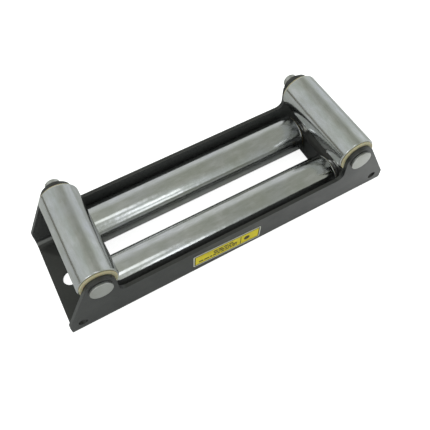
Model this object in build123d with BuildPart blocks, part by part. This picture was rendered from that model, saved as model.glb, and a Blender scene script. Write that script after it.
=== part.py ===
from build123d import *

import os
from math import acos, atan2, cos, hypot, sin

os.makedirs("parts", exist_ok=True)

# Roller fairlead: a bent steel plate that carries two long rollers over a window,
# and two short rollers across its ends. A winch rope runs through the gap between the four.
# X runs along the long rollers, Y across them and Z up from the mounting face.
# The origin is midway between the two mounting bolt holes, on the mounting face.

# Frame plate and its mounting holes
plate_thickness = 3.0
bend_radius = 6.6
bolt_pitch = 254.0
bolt_hole_diameter = 13.0
bolt_to_frame_end = 14.0

# Side flanges, with an ear at each end for the short rollers' pins
flange_height = 36.4
toe_height = 17.0
toe_radius = 2.0
ear_radius = 12.0
ear_fillet_radius = 6.0
corner_hole_diameter = 7.0
corner_hole_to_end = 10.2
corner_hole_height = 16.8

# Tabs bent up at the window's ends for the long rollers' pins
tab_radius = 9.0
tab_to_short_axis = 10.2
relief_radius = 1.6

# Rollers
roller_wall = 3.5
roller_edge_radius = 1.2
long_roller_diameter = 32.4
short_roller_diameter = 31.4
rope_gap = 17.0
long_roller_over_plate = 0.2
long_roller_to_flange = 1.2
short_roller_over_long = 3.0
short_axis_to_bolt = 17.7

# Flanged nylon bushes in the rollers' ends
long_bush_flange_thickness = 1.0
short_bush_flange_thickness = 1.3
bush_flange_step = 1.3
bush_sleeve_length = 14.0
bush_edge_chamfer = 0.3

# Pins, with a flat head at one end and a retaining clip and washer at the other
pin_diameter = 12.0
head_diameter = 17.6
head_thickness = 2.2
head_edge_radius = 0.4
pin_end_length = 5.5
pin_end_chamfer = 1.0
washer_thickness = 2.0
washer_diameter = 17.5
clip_thickness = 1.2
clip_diameter = 17.0
clip_mouth = 8.0
clip_relief_radius = 2.0
groove_diameter = 10.0

# Clearances, each on one side
pin_hole_clearance = 0.15
washer_bore_clearance = 0.25
bush_running_clearance = 0.08
bush_press_clearance = 0.02
roller_end_clearance = 0.3
short_roller_far_clearance = 1.5
clip_seat_clearance = 0.05
clip_side_clearance = 0.1

# Places that follow from those sizes
bend_outer_radius = bend_radius + plate_thickness
bolt_x = bolt_pitch / 2
frame_end = bolt_x + bolt_to_frame_end
short_axis_x = bolt_x - short_axis_to_bolt
long_axis_y = (rope_gap + long_roller_diameter) / 2
long_axis_height = plate_thickness + long_roller_over_plate + long_roller_diameter / 2
flange_inner_y = long_axis_y + long_roller_diameter / 2 + long_roller_to_flange
flange_outer_y = flange_inner_y + plate_thickness
tab_inner_x = short_axis_x - tab_to_short_axis
tab_outer_x = tab_inner_x + plate_thickness
tab_bend_start_x = tab_inner_x + bend_outer_radius
tab_half_width = long_axis_y + tab_radius
tab_height = long_axis_height + tab_radius
short_axis_height = (long_axis_height + long_roller_diameter / 2 + short_roller_over_long
                     + short_roller_diameter / 2)
ear_top = short_axis_height + ear_radius
ear_inner_x = short_axis_x - ear_radius
pin_hole_radius = pin_diameter / 2 + pin_hole_clearance

# The ear's sloped outer edge leaves the toe and is tangent to the ear's arc
toe_from_axis_x = frame_end - short_axis_x
toe_from_axis_z = toe_height - short_axis_height
toe_distance = hypot(toe_from_axis_x, toe_from_axis_z)
tangent_angle = atan2(toe_from_axis_z, toe_from_axis_x) + acos(ear_radius / toe_distance)
slope_top_x = short_axis_x + ear_radius * cos(tangent_angle)
slope_top_z = short_axis_height + ear_radius * sin(tangent_angle)

# The frame's end elevations, seen from the front and from the back, for what both ends share
right_end_view = Plane.XZ
left_end_view = Plane(origin=(0, 0, 0), x_dir=(-1, 0, 0), z_dir=(0, 1, 0))


with BuildPart() as frame:
    # Channel: a base with a flange bent up along each side
    with BuildSketch(Plane.YZ) as channel_outside:
        Rectangle(2 * flange_outer_y, ear_top, align=(Align.CENTER, Align.MIN))
        fillet(channel_outside.vertices().group_by(Axis.Y)[0], bend_outer_radius)
    extrude(amount=frame_end, both=True)
    with BuildSketch(Plane.YZ) as channel_inside:
        with Locations((0, plate_thickness)):
            Rectangle(2 * flange_inner_y, ear_top, align=(Align.CENTER, Align.MIN))
        fillet(channel_inside.vertices().group_by(Axis.Y)[0], bend_radius)
    extrude(amount=frame_end, both=True, mode=Mode.SUBTRACT)

    # Outline of both flanges: upright end, slope, round ear, fillet and straight top edge
    with BuildSketch(Plane.XZ) as side_outline:
        with BuildLine():
            Polyline((0, flange_height), (0, 0), (frame_end, 0), (frame_end, toe_height),
                     (slope_top_x, slope_top_z))
            ThreePointArc((slope_top_x, slope_top_z), (short_axis_x, ear_top),
                          (ear_inner_x, short_axis_height))
            Polyline((ear_inner_x, short_axis_height), (ear_inner_x, flange_height),
                     (0, flange_height))
        make_face()
        inner_corner = side_outline.vertices().sort_by_distance((ear_inner_x, flange_height, 0))[0]
        fillet(inner_corner, ear_fillet_radius)
        toe_corner = side_outline.vertices().sort_by_distance((frame_end, toe_height, 0))[0]
        fillet(toe_corner, toe_radius)
        mirror(about=Plane.YZ)
    extrude(amount=flange_outer_y, both=True, mode=Mode.INTERSECT)

    # Window, with a round relief at each end of the tabs' bends
    with BuildSketch():
        Rectangle(2 * tab_bend_start_x, 2 * tab_half_width)
        with GridLocations(2 * tab_bend_start_x, 2 * tab_half_width, 2, 2):
            Circle(relief_radius)
    extrude(amount=plate_thickness, mode=Mode.SUBTRACT)

    # Tabs: each leaves the base by a bend and stands up, with corners round its two pins
    for end_view in (right_end_view, left_end_view):
        with BuildSketch(end_view):
            with BuildLine():
                Polyline((tab_bend_start_x, plate_thickness), (tab_bend_start_x, 0))
                RadiusArc((tab_bend_start_x, 0), (tab_inner_x, bend_outer_radius), bend_outer_radius)
                Polyline((tab_inner_x, bend_outer_radius), (tab_inner_x, tab_height),
                         (tab_outer_x, tab_height), (tab_outer_x, bend_outer_radius))
                RadiusArc((tab_outer_x, bend_outer_radius), (tab_bend_start_x, plate_thickness),
                          -bend_radius)
            make_face()
        extrude(amount=tab_half_width, both=True)
    tab_corners = frame.edges().filter_by(Axis.X).filter_by_position(
        Axis.Z, tab_height, tab_height)
    fillet(tab_corners, tab_radius)

    # Holes: mounting bolts, short rollers' pins, long rollers' pins, near corners
    with BuildSketch():
        with GridLocations(bolt_pitch, 0, 2, 1):
            Circle(bolt_hole_diameter / 2)
    extrude(amount=plate_thickness, mode=Mode.SUBTRACT)
    with BuildSketch(Plane.XZ):
        with Locations((-short_axis_x, short_axis_height), (short_axis_x, short_axis_height)):
            Circle(pin_hole_radius)
    extrude(amount=flange_outer_y, both=True, mode=Mode.SUBTRACT)
    with BuildSketch(Plane.YZ):
        with Locations((-long_axis_y, long_axis_height), (long_axis_y, long_axis_height)):
            Circle(pin_hole_radius)
    extrude(amount=tab_outer_x, both=True, mode=Mode.SUBTRACT)
    with BuildSketch(Plane.XZ):
        corner_hole_x = frame_end - corner_hole_to_end
        with Locations((-corner_hole_x, corner_hole_height), (corner_hole_x, corner_hole_height)):
            Circle(corner_hole_diameter / 2)
    extrude(amount=flange_outer_y, mode=Mode.SUBTRACT)

frame.part.label = "frame"
export_step(frame.part, "parts/frame.step")


# Each roller set is drawn in a side view through its pin: distance along the pin, then height.
# The view's origin is on the pin's axis, midway between the two walls that hold the pin.

def axis_of(side_view):
    return Axis(side_view.origin, side_view.x_dir)


def make_roller(side_view, diameter, tube_start, tube_end):
    """A steel tube with rounded rims."""
    with BuildPart() as roller:
        with BuildSketch(side_view):
            with Locations((tube_start, diameter / 2)):
                Rectangle(tube_end - tube_start, roller_wall, align=(Align.MIN, Align.MAX))
        revolve(axis=axis_of(side_view))
        rims = roller.edges().filter_by(GeomType.CIRCLE).filter_by(
            lambda edge: edge.radius > diameter / 2 - roller_wall / 2)
        fillet(rims, roller_edge_radius)
    return roller.part


def make_bush(side_view, outward, diameter, flange_back, flange_thickness):
    """A nylon sleeve pressed into the tube, with a flange against the tube's end."""
    flange_face = flange_back + outward * flange_thickness
    sleeve_end = flange_back - outward * bush_sleeve_length
    bore_radius = pin_diameter / 2 + bush_running_clearance
    flange_radius = diameter / 2 - bush_flange_step
    sleeve_radius = diameter / 2 - roller_wall - bush_press_clearance
    with BuildPart() as bush:
        with BuildSketch(side_view):
            with BuildLine():
                Polyline((flange_face, bore_radius), (flange_face, flange_radius),
                         (flange_back, flange_radius), (flange_back, sleeve_radius),
                         (sleeve_end, sleeve_radius), (sleeve_end, bore_radius),
                         close=True)
            make_face()
        revolve(axis=axis_of(side_view))
        rims = bush.edges().filter_by(GeomType.CIRCLE).filter_by(
            lambda edge: edge.radius > (sleeve_radius + flange_radius) / 2)
        chamfer(rims, bush_edge_chamfer)
    return bush.part


def make_pin(side_view, wall_to_wall):
    """A turned pin: head on one wall, groove for the clip past the washer on the other."""
    head_seat = -wall_to_wall / 2
    groove_start = wall_to_wall / 2 + washer_thickness
    groove_end = groove_start + clip_thickness + 2 * clip_side_clearance
    pin_end = groove_end + pin_end_length
    with BuildPart() as pin:
        with BuildSketch(side_view):
            with BuildLine():
                Polyline((head_seat - head_thickness, 0),
                         (head_seat - head_thickness, head_diameter / 2),
                         (head_seat, head_diameter / 2),
                         (head_seat, pin_diameter / 2),
                         (groove_start, pin_diameter / 2),
                         (groove_start, groove_diameter / 2),
                         (groove_end, groove_diameter / 2),
                         (groove_end, pin_diameter / 2),
                         (pin_end - pin_end_chamfer, pin_diameter / 2),
                         (pin_end, pin_diameter / 2 - pin_end_chamfer),
                         (pin_end, 0),
                         close=True)
            make_face()
        revolve(axis=axis_of(side_view))
        head_rims = pin.edges().filter_by(GeomType.CIRCLE).filter_by(
            lambda edge: edge.radius > (head_diameter + pin_diameter) / 4)
        fillet(head_rims, head_edge_radius)
    return pin.part


def make_washer(side_view, wall_to_wall):
    """A flat washer against the outside of the wall, under the clip."""
    bore_radius = pin_diameter / 2 + washer_bore_clearance
    with BuildPart() as washer:
        with BuildSketch(side_view):
            with Locations((wall_to_wall / 2, bore_radius)):
                Rectangle(washer_thickness, washer_diameter / 2 - bore_radius,
                          align=(Align.MIN, Align.MIN))
        revolve(axis=axis_of(side_view))
    return washer.part


def make_clip(side_view, wall_to_wall):
    """An open retaining clip: three prongs on the groove, two reliefs and a mouth below."""
    seat_radius = groove_diameter / 2 + clip_seat_clearance
    clip_face = wall_to_wall / 2 + washer_thickness + clip_side_clearance
    clip_plane = Plane(origin=side_view.from_local_coords((clip_face, 0, 0)),
                       x_dir=(0, 0, -1), z_dir=side_view.x_dir)
    with BuildPart() as clip:
        with BuildSketch(clip_plane):
            Circle(clip_diameter / 2)
            Circle(seat_radius, mode=Mode.SUBTRACT)
            Rectangle(clip_diameter, clip_mouth, align=(Align.MIN, Align.CENTER),
                      mode=Mode.SUBTRACT)
            with PolarLocations(seat_radius, 2, start_angle=120, angular_range=120,
                                endpoint=True):
                Circle(clip_relief_radius, mode=Mode.SUBTRACT)
        extrude(amount=clip_thickness)
    return clip.part


def export_piece(piece, name):
    piece.label = name
    export_step(piece, "parts/" + name + ".step")


def export_roller_set(name, side_view, diameter, seat_length, far_clearance,
                      flange_thickness, end_names):
    """One roller with its two bushes, and the pin, washer and clip that hold them."""
    wall_to_wall = seat_length + 2 * plate_thickness
    tube_start = -seat_length / 2 + roller_end_clearance + flange_thickness
    tube_end = seat_length / 2 - far_clearance - flange_thickness
    export_piece(make_roller(side_view, diameter, tube_start, tube_end), name + "_roller")
    for outward, flange_back, end_name in zip((-1, 1), (tube_start, tube_end), end_names):
        export_piece(make_bush(side_view, outward, diameter, flange_back, flange_thickness),
                     name + "_bush_" + end_name)
    export_piece(make_pin(side_view, wall_to_wall), name + "_pin")
    export_piece(make_washer(side_view, wall_to_wall), name + "_washer")
    export_piece(make_clip(side_view, wall_to_wall), name + "_clip")


for row, side in (("near", -1), ("far", 1)):
    side_view = Plane(origin=(0, side * long_axis_y, long_axis_height),
                      x_dir=(1, 0, 0), z_dir=(0, -1, 0))
    export_roller_set("long_" + row, side_view, long_roller_diameter, 2 * tab_inner_x,
                      roller_end_clearance, long_bush_flange_thickness, ("left", "right"))

for row, side in (("left", -1), ("right", 1)):
    side_view = Plane(origin=(side * short_axis_x, 0, short_axis_height),
                      x_dir=(0, 1, 0), z_dir=(1, 0, 0))
    export_roller_set("short_" + row, side_view, short_roller_diameter, 2 * flange_inner_y,
                      short_roller_far_clearance, short_bush_flange_thickness, ("near", "far"))
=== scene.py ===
from math import cos, pi, radians, sin
from random import Random

import bmesh
import bpy
from mathutils import Matrix, Vector


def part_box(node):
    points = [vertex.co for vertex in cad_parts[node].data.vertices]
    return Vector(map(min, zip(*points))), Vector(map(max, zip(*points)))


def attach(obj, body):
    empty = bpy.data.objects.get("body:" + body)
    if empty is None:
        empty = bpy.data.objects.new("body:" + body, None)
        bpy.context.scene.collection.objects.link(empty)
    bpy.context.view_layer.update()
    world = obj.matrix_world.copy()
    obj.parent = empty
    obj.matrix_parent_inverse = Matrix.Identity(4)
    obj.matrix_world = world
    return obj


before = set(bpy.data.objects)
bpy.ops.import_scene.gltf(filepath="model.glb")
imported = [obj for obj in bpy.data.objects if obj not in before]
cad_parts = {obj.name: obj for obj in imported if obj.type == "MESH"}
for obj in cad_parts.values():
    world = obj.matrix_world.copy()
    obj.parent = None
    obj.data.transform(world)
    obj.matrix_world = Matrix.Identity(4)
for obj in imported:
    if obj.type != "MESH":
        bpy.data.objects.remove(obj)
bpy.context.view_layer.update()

# Frame
# One laser-cut steel plate, bent up along both sides and at the ends of the rope window.
# It is shot-blasted and powder coated satin black, so its skin is slightly pebbled. Dust
# lies on what looks up. A pale band low in the bends is a painted highlight with some dust,
# and the flange behind the far roller is painted lighter, as painted light in its shade.


def feed(tree, socket, value):
    """Links a socket to another socket, or sets it to a plain value."""
    if isinstance(value, bpy.types.NodeSocket):
        tree.links.new(value, socket)
    else:
        socket.default_value = value


def start_material(name):
    """A node material with its Principled skin and the object's own coordinates."""
    material = bpy.data.materials.new(name)
    material.use_nodes = True
    tree = material.node_tree
    place = tree.nodes.new("ShaderNodeTexCoord").outputs["Object"]
    return material, tree, tree.nodes["Principled BSDF"], place


def start_group(name, inputs, outputs):
    """An empty shader group. Inputs are (socket type, name, value), outputs (socket type, name)."""
    group = bpy.data.node_groups.new(name, "ShaderNodeTree")
    for kind, label, value in inputs:
        socket = group.interface.new_socket(label, in_out="INPUT", socket_type=kind)
        if value is not None:
            socket.default_value = value
    for kind, label in outputs:
        group.interface.new_socket(label, in_out="OUTPUT", socket_type=kind)
    given = group.nodes.new("NodeGroupInput").outputs
    made = group.nodes.new("NodeGroupOutput").inputs
    return group, given, made


def use_group(tree, group, **given):
    """Puts a group in a material, with its inputs given by name."""
    node = tree.nodes.new("ShaderNodeGroup")
    node.node_tree = group
    for label, value in given.items():
        feed(tree, node.inputs[label.replace("_", " ").title()], value)
    return node.outputs


def add_parts(tree, vector):
    """The X, Y and Z of a vector."""
    split = tree.nodes.new("ShaderNodeSeparateXYZ")
    feed(tree, split.inputs["Vector"], vector)
    return split.outputs


def add_math(tree, operation, *values):
    step = tree.nodes.new("ShaderNodeMath")
    step.operation = operation
    for socket, value in zip(step.inputs, values):
        feed(tree, socket, value)
    return step.outputs["Value"]


def add_mix(tree, factor, first, second, blend_type="MIX"):
    """Blends two colours."""
    mix = tree.nodes.new("ShaderNodeMix")
    mix.data_type = "RGBA"
    mix.blend_type = blend_type
    for label, value in (("Factor", factor), ("A", first), ("B", second)):
        feed(tree, mix.inputs[label], value)
    return mix.outputs["Result"]


def add_noise(tree, place, scale, detail=2.0):
    noise = tree.nodes.new("ShaderNodeTexNoise")
    noise.inputs["Detail"].default_value = detail
    feed(tree, noise.inputs["Vector"], place)
    feed(tree, noise.inputs["Scale"], scale)
    return noise.outputs["Fac"]


def add_range(tree, value, low, high, from_low=0.35, from_high=0.65):
    """Spreads a value, or the middle of a noise, between two others."""
    spread = tree.nodes.new("ShaderNodeMapRange")
    for label, end in (("Value", value), ("From Min", from_low), ("From Max", from_high),
                       ("To Min", low), ("To Max", high)):
        feed(tree, spread.inputs[label], end)
    return spread.outputs["Result"]


def add_bump(tree, height, depth, skin, under=None):
    """Raises a skin by a height, on top of another bump's normal where one is given."""
    bump = tree.nodes.new("ShaderNodeBump")
    bump.inputs["Distance"].default_value = depth
    feed(tree, bump.inputs["Height"], height)
    if under:
        feed(tree, bump.inputs["Normal"], under)
    feed(tree, skin.inputs["Normal"], bump.outputs["Normal"])
    return bump.outputs["Normal"]


def dress(node_name, material):
    """Gives a CAD node its finish."""
    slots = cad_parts[node_name].data.materials
    slots.clear()
    slots.append(material)


# Pebbled skin of a coat, a moulding or a stamping: a height for the bump and an uneven gloss
clouds_per_metre = 45.0
pebbled_skin, given, made = start_group(
    "pebbled_skin",
    [("NodeSocketVector", "Place", None), ("NodeSocketFloat", "Pebbles Per Metre", 900.0),
     ("NodeSocketFloat", "Gloss Low", 0.3), ("NodeSocketFloat", "Gloss High", 0.5)],
    [("NodeSocketFloat", "Height"), ("NodeSocketFloat", "Roughness")])
pebbles = add_noise(pebbled_skin, given["Place"], given["Pebbles Per Metre"])
clouds = add_noise(pebbled_skin, given["Place"], clouds_per_metre, detail=3.0)
gloss = add_range(pebbled_skin, clouds, given["Gloss Low"], given["Gloss High"])
feed(pebbled_skin, made["Height"], pebbles)
feed(pebbled_skin, made["Roughness"], gloss)

# Film of dust, grease or wear, and also painted light: soft blotches of a second colour over a clean
# one
grey = (0.5, 0.5, 0.5, 1)
blotchy_film, given, made = start_group(
    "blotchy_film",
    [("NodeSocketVector", "Place", None), ("NodeSocketColor", "Clean", grey),
     ("NodeSocketColor", "Film", grey), ("NodeSocketFloat", "Most", 0.3),
     ("NodeSocketFloat", "Blotches Per Metre", 60.0)],
    [("NodeSocketColor", "Color")])
blotches = add_noise(blotchy_film, given["Place"], given["Blotches Per Metre"], detail=6.0)
cover = add_range(blotchy_film, blotches, 0.0, given["Most"])
feed(blotchy_film, made["Color"],
     add_mix(blotchy_film, cover, given["Clean"], given["Film"]))

# Shelf dust that settles on faces which look up, and a pale band in the bends below a height that is
# a painted highlight along the inner bend, with some dust
dust_patches_per_metre = 80.0
thin_share = 0.7
level_from, level_to = 0.5, 0.95
bend_low_from, bend_low_to = 0.55, 0.65
bend_high_from, bend_high_to = 0.8, 0.9
settled_dust_and_highlight, given, made = start_group(
    "settled_dust_and_highlight",
    [("NodeSocketVector", "Place", None), ("NodeSocketColor", "Clean", grey),
     ("NodeSocketColor", "Dust", grey), ("NodeSocketFloat", "Most", 0.5),
     ("NodeSocketColor", "Bend Dust", grey), ("NodeSocketFloat", "Bend Top", 0.0)],
    [("NodeSocketColor", "Color")])
normal = settled_dust_and_highlight.nodes.new("ShaderNodeNewGeometry").outputs["Normal"]
upward = add_parts(settled_dust_and_highlight, normal)["Z"]
patches = add_noise(settled_dust_and_highlight, given["Place"], dust_patches_per_metre, detail=5.0)
thickness = add_math(settled_dust_and_highlight, "MULTIPLY",
                     add_range(settled_dust_and_highlight, patches, thin_share, 1.0), given["Most"])
layer = add_range(settled_dust_and_highlight, upward, 0.0, thickness, level_from, level_to)
dusty = add_mix(settled_dust_and_highlight, layer, given["Clean"], given["Dust"])
height = add_parts(settled_dust_and_highlight, given["Place"])["Z"]
# Low in the bends the band is pale: a painted highlight along the inner bend, with some dust
low_down = add_math(settled_dust_and_highlight, "LESS_THAN", height, given["Bend Top"])
not_level = add_range(settled_dust_and_highlight, upward, low_down, 0.0, bend_high_from, bend_high_to)
bend_dust_and_highlight_mask = add_range(settled_dust_and_highlight, upward, 0.0, not_level, bend_low_from, bend_low_to)
feed(settled_dust_and_highlight, made["Color"], add_mix(settled_dust_and_highlight, bend_dust_and_highlight_mask, dusty, given["Bend Dust"]))

# The coat, with a paler film on the far flange's inner face that paints light into its shade
plate_thickness = 0.003
far_flange_inner_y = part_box("frame")[1].y - plate_thickness
face_tolerance = plate_thickness / 10
coat_pebble_depth = 0.00006
black_powder_coat, tree, skin, place = start_material("black_powder_coat")
film = use_group(tree, blotchy_film, place=place, clean=(0.018, 0.018, 0.0185, 1),
                 film=(0.034, 0.035, 0.034, 1), most=0.6, blotches_per_metre=55.0)
# The pale bend colour paints the highlight in the inner bends, with some dust in it
dust = use_group(tree, settled_dust_and_highlight, place=place, clean=film["Color"],
                 dust=(0.062, 0.061, 0.056, 1), most=0.65, bend_dust=(0.22, 0.22, 0.215, 1),
                 bend_top=0.0064)
# The far flange's inner face gets a paler film: painted light where the far roller shades it
inner_face = add_math(tree, "COMPARE", add_parts(tree, place)["Y"], far_flange_inner_y,
                      face_tolerance)
far_face_painted_light = use_group(tree, blotchy_film, place=place, clean=dust["Color"],
                  film=(0.105, 0.107, 0.106, 1), most=inner_face, blotches_per_metre=1500.0)
pebble = use_group(tree, pebbled_skin, place=place, pebbles_per_metre=1100.0,
                   gloss_low=0.34, gloss_high=0.44)
feed(tree, skin.inputs["Base Color"], far_face_painted_light["Color"])
feed(tree, skin.inputs["Roughness"], pebble["Roughness"])
skin.inputs["Specular IOR Level"].default_value = 0.3
skin.inputs["Coat Weight"].default_value = 0.42
skin.inputs["Coat Roughness"].default_value = 0.07
add_bump(tree, pebble["Height"], coat_pebble_depth, skin)
dress("frame", black_powder_coat)

# Rollers
# Four drawn steel tubes, faced to length with a small radius on their rims, polished on
# the lathe, which leaves very fine lines round them, and clear zinc plated. The plating
# has a faint bluish and olive cast, and stains drawn out along the tube.

# Lines that a lathe leaves: fine grooves that change only along the turned piece
gloss_patches_per_metre = 38.0
turning_lines, given, made = start_group(
    "turning_lines",
    [("NodeSocketFloat", "Along", 0.0), ("NodeSocketVector", "Place", None),
     ("NodeSocketFloat", "Lines Per Metre", 5000.0), ("NodeSocketFloat", "Gloss Low", 0.15),
     ("NodeSocketFloat", "Gloss High", 0.25)],
    [("NodeSocketFloat", "Height"), ("NodeSocketFloat", "Roughness")])
grooves = turning_lines.nodes.new("ShaderNodeTexNoise")
grooves.noise_dimensions = "1D"
grooves.inputs["Detail"].default_value = 3.0
feed(turning_lines, grooves.inputs["W"], given["Along"])
feed(turning_lines, grooves.inputs["Scale"], given["Lines Per Metre"])
patches = add_noise(turning_lines, given["Place"], gloss_patches_per_metre, detail=4.0)
gloss = add_range(turning_lines, patches, given["Gloss Low"], given["Gloss High"])
feed(turning_lines, made["Height"], grooves.outputs["Fac"])
feed(turning_lines, made["Roughness"], gloss)

tube_line_depth = 0.0000012
wave_depth = 0.0001
waves_per_metre = 120.0
stain_squeeze = 0.3


def polished_tube_steel(name, along_axis):
    """Clear-plated polished steel: lines round the tube, and slight waves in the steel."""
    material, tree, skin, place = start_material(name)
    lines = use_group(tree, turning_lines, along=add_parts(tree, place)[along_axis], place=place,
                      lines_per_metre=5200.0, gloss_low=0.12, gloss_high=0.19)
    olive = use_group(tree, blotchy_film, place=place, clean=(0.665, 0.665, 0.67, 1),
                      film=(0.54, 0.555, 0.51, 1), most=1.0, blotches_per_metre=75.0)
    bluish = use_group(tree, blotchy_film, place=place, clean=olive["Color"],
                       film=(0.59, 0.595, 0.63, 1), most=0.8, blotches_per_metre=37.0)
    drawn = tree.nodes.new("ShaderNodeVectorMath")
    drawn.operation = "MULTIPLY"
    feed(tree, drawn.inputs[0], place)
    drawn.inputs[1].default_value = [stain_squeeze if axis == along_axis else 1.0 for axis in "XYZ"]
    stained = use_group(tree, blotchy_film, place=drawn.outputs["Vector"], clean=bluish["Color"],
                        film=(0.46, 0.47, 0.43, 1), most=0.5, blotches_per_metre=330.0)
    feed(tree, skin.inputs["Base Color"], stained["Color"])
    feed(tree, skin.inputs["Roughness"], lines["Roughness"])
    skin.inputs["Metallic"].default_value = 1.0
    waves = add_bump(tree, add_noise(tree, place, waves_per_metre), wave_depth, skin)
    add_bump(tree, lines["Height"], tube_line_depth, skin, under=waves)
    return material


long_roller_steel = polished_tube_steel("long_roller_steel", "X")
short_roller_steel = polished_tube_steel("short_roller_steel", "Y")
for row in ("near", "far"):
    dress(f"long_{row}_roller", long_roller_steel)
for row in ("left", "right"):
    dress(f"short_{row}_roller", short_roller_steel)

# Bushes
# Flanged sleeves moulded in natural nylon, pressed into both ends of each tube.
# Their cream flanges run against the frame and pick up a little brown grease. The long
# rollers' bushes, low in the channel, are a darker copy with painted shade and grease.

nylon_pebble_depth = 0.00002


def moulded_nylon(name, clean, film, most):
    """Nylon with a soft pebbled skin, a little translucent, under a film of grease."""
    material, tree, skin, place = start_material(name)
    greased = use_group(tree, blotchy_film, place=place, clean=clean, film=film,
                        most=most, blotches_per_metre=70.0)
    pebble = use_group(tree, pebbled_skin, place=place, pebbles_per_metre=1500.0,
                       gloss_low=0.36, gloss_high=0.5)
    feed(tree, skin.inputs["Base Color"], greased["Color"])
    feed(tree, skin.inputs["Roughness"], pebble["Roughness"])
    skin.inputs["Subsurface Weight"].default_value = 0.12
    skin.inputs["Subsurface Scale"].default_value = 0.001
    add_bump(tree, pebble["Height"], nylon_pebble_depth, skin)
    return material


natural_nylon = moulded_nylon("natural_nylon", (0.74, 0.69, 0.47, 1), (0.50, 0.41, 0.23, 1), 0.7)
# A darker copy of the nylon for the long rollers' bushes: painted shade, with grease
shaded_greasy_nylon = moulded_nylon("shaded_greasy_nylon", (0.34, 0.28, 0.15, 1), (0.11, 0.09, 0.055, 1), 0.9)
for row in ("near", "far"):
    for end in ("left", "right"):
        dress(f"long_{row}_bush_{end}", shaded_greasy_nylon)
for row in ("left", "right"):
    for end in ("near", "far"):
        dress(f"short_{row}_bush_{end}", natural_nylon)

# Pins
# Turned from bright bar, each with a thin flat head at one end and a clip groove and a
# chamfered nose at the other. They are zinc plated and pushed through from the head side.

pin_line_depth = 0.000003


def turned_pin_steel(name, along_axis):
    """Zinc-plated turned steel: satin, with lathe lines round the shank."""
    material, tree, skin, place = start_material(name)
    lines = use_group(tree, turning_lines, along=add_parts(tree, place)[along_axis], place=place,
                      lines_per_metre=3500.0, gloss_low=0.26, gloss_high=0.36)
    handled = use_group(tree, blotchy_film, place=place, clean=(0.58, 0.58, 0.565, 1),
                        film=(0.46, 0.455, 0.43, 1), most=0.7, blotches_per_metre=90.0)
    feed(tree, skin.inputs["Base Color"], handled["Color"])
    feed(tree, skin.inputs["Roughness"], lines["Roughness"])
    skin.inputs["Metallic"].default_value = 1.0
    add_bump(tree, lines["Height"], pin_line_depth, skin)
    return material


long_pin_steel = turned_pin_steel("long_pin_steel", "X")
short_pin_steel = turned_pin_steel("short_pin_steel", "Y")
for row in ("near", "far"):
    dress(f"long_{row}_pin", long_pin_steel)
for row in ("left", "right"):
    dress(f"short_{row}_pin", short_pin_steel)

# Washers and clips
# Stamped washers lie against the frame on the pins' far ends, bright zinc plated.
# Open clips of phosphated spring steel snap into the grooves behind them.


def stamped_steel(name, film, pebble, pebble_depth, metallic):
    """Steel sheet with a plated or phosphated skin. Film and pebble hold their groups' inputs."""
    material, tree, skin, place = start_material(name)
    handled = use_group(tree, blotchy_film, place=place, **film)
    skinned = use_group(tree, pebbled_skin, place=place, **pebble)
    feed(tree, skin.inputs["Base Color"], handled["Color"])
    feed(tree, skin.inputs["Roughness"], skinned["Roughness"])
    skin.inputs["Metallic"].default_value = metallic
    add_bump(tree, skinned["Height"], pebble_depth, skin)
    return material


zinc_washer_steel = stamped_steel(
    "zinc_washer_steel",
    dict(clean=(0.66, 0.66, 0.67, 1), film=(0.55, 0.54, 0.50, 1), most=0.6,
         blotches_per_metre=120.0),
    dict(pebbles_per_metre=2500.0, gloss_low=0.2, gloss_high=0.34),
    pebble_depth=0.000008, metallic=1.0)
phosphated_clip_steel = stamped_steel(
    "phosphated_clip_steel",
    dict(clean=(0.09, 0.088, 0.085, 1), film=(0.15, 0.145, 0.135, 1), most=0.7,
         blotches_per_metre=200.0),
    dict(pebbles_per_metre=3000.0, gloss_low=0.38, gloss_high=0.55),
    pebble_depth=0.00001, metallic=0.8)
for name in ("long_near", "long_far", "short_left", "short_right"):
    dress(f"{name}_washer", zinc_washer_steel)
    dress(f"{name}_clip", phosphated_clip_steel)

# Sticker
# A yellow vinyl label on the near flange, with a pale edge round a dark printed frame.
# Its print is only dashes, a divider and a round spot. It is stuck on a little askew.

sticker_length = 0.0598
sticker_height = 0.0155
sticker_thickness = 0.00014
sticker_corner = 0.0012
corner_steps = 5
pale_edge = 0.0009
dark_frame = 0.0009
ink_thickness = 0.00002
sticker_middle = Vector((-0.0093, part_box("frame")[0].y, 0.0203))
sticker_tilt = radians(3.3)
yellow_slot, pale_slot, ink_slot = 0, 1, 2


def rounded_outline(middle_x, length, height, corner):
    """The corners of a rounded rectangle, as (x, z) pairs."""
    outline = []
    for side_x, side_z, start in ((1, 1, 0), (-1, 1, 90), (-1, -1, 180), (1, -1, 270)):
        for step in range(corner_steps + 1):
            turn = radians(start + 90 * step / corner_steps)
            outline.append((middle_x + side_x * (length / 2 - corner) + corner * cos(turn),
                            side_z * (height / 2 - corner) + corner * sin(turn)))
    return outline


def bar_outline(left, right, low, high):
    return [(left, low), (right, low), (right, high), (left, high)]


def closed_slab(mesh, outline, back, front, slot):
    """A thin closed slab facing -Y, from back to front. Returns its front face."""
    ring = [mesh.verts.new((x, -front, z)) for x, z in outline]
    rear = [mesh.verts.new((x, -back, z)) for x, z in outline]
    face = mesh.faces.new(ring)
    sides = [mesh.faces.new((ring[corner], ring[corner - 1], rear[corner - 1], rear[corner]))
             for corner in range(len(ring))]
    for part in [face, mesh.faces.new(rear[::-1])] + sides:
        part.material_index = slot
        part.normal_update()
    return face


mesh = bmesh.new()
field = closed_slab(mesh, rounded_outline(0.0, sticker_length, sticker_height, sticker_corner),
                    0.0, sticker_thickness, pale_slot)
field.material_index = yellow_slot
for depth, slot in ((pale_edge, pale_slot), (dark_frame, ink_slot)):
    inset = bmesh.ops.inset_individual(mesh, faces=[field], thickness=depth, use_even_offset=True)
    for face in inset["faces"]:
        face.material_index = slot

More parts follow.
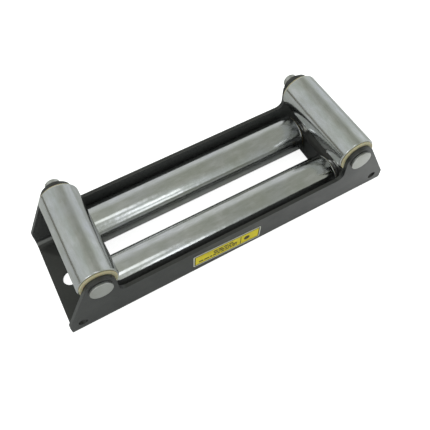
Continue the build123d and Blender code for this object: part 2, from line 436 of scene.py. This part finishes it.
# The print: rows of dashes as (row above the middle, left end, right end), a bar and a spot
dash_rows = ((1, -0.0125, 0.0050), (0, -0.0120, 0.0085), (-1, -0.0250, 0.0085))
row_pitch = 0.0029
dash_height = 0.0019
dash_gap = 0.0007
shortest_dash, longest_dash = 0.0016, 0.0048
divider_middle = 0.0120
divider_width = 0.0007
divider_height = 0.0100
spot_middle = 0.0175
spot_width = 0.0052
spot_corner = 0.0025
dashes = Random(5)
prints = []
for row, row_left, row_right in dash_rows:
    left = row_left
    while left < row_right:
        right = min(left + dashes.uniform(shortest_dash, longest_dash), row_right)
        prints.append(bar_outline(left, right, row * row_pitch - dash_height / 2,
                                  row * row_pitch + dash_height / 2))
        left = right + dash_gap
prints.append(bar_outline(divider_middle - divider_width / 2, divider_middle + divider_width / 2,
                          -divider_height / 2, divider_height / 2))
prints.append(rounded_outline(spot_middle, spot_width, spot_width, spot_corner))
for outline in prints:
    closed_slab(mesh, outline, sticker_thickness / 2, sticker_thickness + ink_thickness, ink_slot)
sticker_mesh = bpy.data.meshes.new("sticker")
mesh.to_mesh(sticker_mesh)
mesh.free()
sticker = bpy.data.objects.new("sticker", sticker_mesh)
bpy.context.scene.collection.objects.link(sticker)
sticker.location = sticker_middle
sticker.rotation_euler = (0, sticker_tilt, 0)

vinyl_pebble_depth = 0.00002


def vinyl(name, colour, faded, painted_glow):
    """Printed vinyl: smooth, slightly scuffed and faded in patches, with a painted glow."""
    material, tree, skin, place = start_material(name)
    worn = use_group(tree, blotchy_film, place=place, clean=colour, film=faded,
                     most=0.7, blotches_per_metre=160.0)
    pebble = use_group(tree, pebbled_skin, place=place, pebbles_per_metre=700.0,
                       gloss_low=0.38, gloss_high=0.52)
    feed(tree, skin.inputs["Base Color"], worn["Color"])
    # The glow is painted light: it lifts the label as if more light fell on it
    feed(tree, skin.inputs["Emission Color"], worn["Color"])
    feed(tree, skin.inputs["Roughness"], pebble["Roughness"])
    skin.inputs["Emission Strength"].default_value = painted_glow
    skin.inputs["Specular IOR Level"].default_value = 0.2
    add_bump(tree, pebble["Height"], vinyl_pebble_depth, skin)
    return material


# In the order of the slots
for name, colour, faded, painted_glow in (
        ("yellow_vinyl", (0.80, 0.67, 0.030, 1), (0.65, 0.53, 0.042, 1), 0.09),
        ("pale_vinyl", (0.80, 0.80, 0.72, 1), (0.62, 0.61, 0.52, 1), 0.0),
        ("dark_ink", (0.05, 0.042, 0.015, 1), (0.11, 0.09, 0.03, 1), 0.0)):
    sticker_mesh.materials.append(vinyl(name, colour, faded, painted_glow))
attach(sticker, "frame")

# Floor
# A plain white studio table under the fairlead. The camera sees it lifted to pure white,
# as in the photograph, so its soft shadow hardly shows. Reflections see it as it is, but
# for a painted pool of light that lies in front of the near flange and grows to the right.

floor_half_size = 3.0
floor_drop = 0.0003
floor_mesh = bpy.data.meshes.new("studio_floor")
corners = [(-1, -1), (1, -1), (1, 1), (-1, 1)]
floor_mesh.from_pydata([(x * floor_half_size, y * floor_half_size, -floor_drop) for x, y in corners],
                       [], [(0, 1, 2, 3)])
studio_floor = bpy.data.objects.new("studio_floor", floor_mesh)
bpy.context.scene.collection.objects.link(studio_floor)

camera_lift = 0.88
mirror_lift = 0.02
# The patch is a painted pool of light, which only reflections see
patch_lift = 0.52
patch_far_share = 0.3
patch_left, patch_right = -0.04, 0.19
patch_start, patch_full = -0.045, -0.052
patch_fades, patch_faded = -0.06, -0.08
white_table, tree, skin, place = start_material("white_table")
skin.inputs["Base Color"].default_value = (0.86, 0.86, 0.86, 1)
skin.inputs["Roughness"].default_value = 0.8
skin.inputs["Specular IOR Level"].default_value = 0.0
skin.inputs["Emission Color"].default_value = (1, 1, 1, 1)
seen = tree.nodes.new("ShaderNodeLightPath").outputs
mirrored = add_math(tree, "ADD", seen["Is Glossy Ray"], seen["Is Transmission Ray"])
spot = add_parts(tree, place)
faded_light_pool = add_range(tree, spot["Y"], patch_lift, patch_far_share * patch_lift,
                        patch_fades, patch_faded)
in_front = add_range(tree, spot["Y"], 0.0, faded_light_pool, patch_start, patch_full)
painted_light_pool = add_range(tree, spot["X"], mirror_lift, in_front, patch_left, patch_right)
mirror_share = add_math(tree, "MULTIPLY", mirrored, painted_light_pool)
lift = add_math(tree, "MULTIPLY_ADD", seen["Is Camera Ray"], camera_lift, mirror_share)
feed(tree, skin.inputs["Emission Strength"], lift)
floor_mesh.materials.append(white_table)

# Studio light
# A plain room: pale walls, a dimmer olive ceiling and a dark skirting on the left. Behind
# the camera, on its right, a tall window of three narrow panes with a pale reveal draws the
# bright lines along the rollers. A wide pane straight behind lights the near flange.

room = bpy.data.worlds.new("studio_room")
bpy.context.scene.world = room
room.use_nodes = True
tree = room.node_tree
direction = add_parts(tree, tree.nodes.new("ShaderNodeTexCoord").outputs["Generated"])


def add_tones(tree, value, stops):
    """A ramp over a value from -1 to 1. Stops are (value, colour)."""
    half = add_math(tree, "MULTIPLY_ADD", value, 0.5, 0.5)
    ramp = tree.nodes.new("ShaderNodeValToRGB")
    tones = ramp.color_ramp.elements
    tones.remove(tones[1])
    tones[0].position = stops[0][0] / 2 + 0.5
    tones[0].color = (*stops[0][1], 1)
    for stop, colour in stops[1:]:
        tones.new(stop / 2 + 0.5).color = (*colour, 1)
    feed(tree, ramp.inputs["Fac"], half)
    return ramp.outputs["Color"]


# Walls and ceiling from left to right, then the far wall, bluish like the right one
left_wall = (0.65, 0.685, 0.665)
left_cove = (0.605, 0.65, 0.616)
ceiling_left = (0.537, 0.572, 0.528)
ceiling_middle = (0.483, 0.503, 0.454)
ceiling_right = (0.394, 0.413, 0.367)
right_cove = (0.614, 0.648, 0.617)
right_wall = (0.721, 0.759, 0.765)
far_wall = (0.735, 0.762, 0.757, 1)
far_wall_from, far_wall_to = 0.565, 0.8
across = add_tones(tree, direction["X"],
                   ((-0.6, left_wall), (-0.35, left_cove), (-0.12, ceiling_left),
                    (0.08, ceiling_middle), (0.3, ceiling_right), (0.53, ceiling_right),
                    (0.66, right_cove), (0.82, right_wall)))
to_far_wall = add_range(tree, direction["Y"], 0.0, 1.0, far_wall_from, far_wall_to)
walls = add_mix(tree, to_far_wall, across, far_wall)

# The skirting darkens the foot of the left wall
skirting_tone = (0.27, 0.255, 0.21)
unchanged = (1, 1, 1)
skirting_from, skirting_to = -0.55, -0.75
skirting = add_tones(tree, direction["Z"],
                     ((0.0, skirting_tone), (0.09, skirting_tone), (0.2, unchanged)))
on_left = add_range(tree, direction["X"], 0.0, 1.0, skirting_from, skirting_to)
room_tones = add_mix(tree, on_left, walls, skirting, "MULTIPLY")

# The reveal glows beside the window, in a band of headings on the near side
reveal = (0.33, 0.36, 0.41)
reveal_edge = (0.09, 0.1, 0.12)
dark = (0, 0, 0)
near_wall_from, near_wall_to = -0.25, -0.75
beside = add_math(tree, "DIVIDE", direction["X"], direction["Y"])
glow = add_tones(tree, beside, ((-0.5, dark), (-0.36, reveal_edge), (-0.2, reveal),
                                (-0.12, reveal), (-0.06, dark)))
on_near = add_range(tree, direction["Y"], 0.0, 1.0, near_wall_from, near_wall_to)
lit_room = add_mix(tree, on_near, room_tones, glow, "ADD")
background = tree.nodes["Background"]
feed(tree, background.inputs["Color"], lit_room)
background.inputs["Strength"].default_value = 1.0

daylight = (0.94, 0.97, 1.0)
window_distance = 1.2
pane_height = 0.29


def soft_pane(name, place, width, brightness):
    """A soft pane of daylight that faces the fairlead."""
    lamp = bpy.data.lights.new(name, "AREA")
    lamp.shape = "RECTANGLE"
    lamp.size = width
    lamp.size_y = pane_height
    lamp.energy = brightness * pi * width * pane_height
    lamp.color = daylight
    holder = bpy.data.objects.new(name, lamp)
    bpy.context.scene.collection.objects.link(holder)
    holder.location = place
    holder.rotation_mode = "QUATERNION"
    holder.rotation_quaternion = (-place).to_track_quat("-Z", "Y")


# Each pane's name, heading from +Y and climb in degrees, width and brightness
for name, heading, climb, width, brightness in (("low_pane", 186.6, 16, 0.18, 1.05),
                                                ("middle_pane", 187.4, 38, 0.16, 1.5),
                                                ("high_pane", 179, 65, 0.20, 1.1),
                                                ("side_pane", 155, 16, 0.42, 2.4)):
    level = Vector((-sin(radians(heading)), cos(radians(heading)), 0)) * cos(radians(climb))
    upright = Vector((0, 0, sin(radians(climb))))
    soft_pane(name, (level + upright) * window_distance, width, brightness)

# Camera
# Above the fairlead's near left corner, looking steeply down, as in the photograph.
# Its lens is shifted, as if the photograph had been cropped off its middle.

camera_data = bpy.data.cameras.new("photo_camera")
camera_data.sensor_width = 36.0
camera_data.lens = 45.356
camera_data.shift_x = 0.0394
camera_data.shift_y = -0.0811
camera_data.clip_start = 0.01
camera = bpy.data.objects.new("photo_camera", camera_data)
bpy.context.scene.collection.objects.link(camera)
camera_place = (-0.10719, -0.20941, 0.40038)
camera_heading = radians(-25.011)
camera_tilt = radians(33.769)
camera_roll = radians(-3.962)
camera.matrix_world = (Matrix.Translation(camera_place) @ Matrix.Rotation(camera_heading, 4, "Z")
                       @ Matrix.Rotation(camera_tilt, 4, "X") @ Matrix.Rotation(camera_roll, 4, "Z"))
bpy.context.scene.camera = camera
bpy.context.scene.view_settings.view_transform = "Standard"
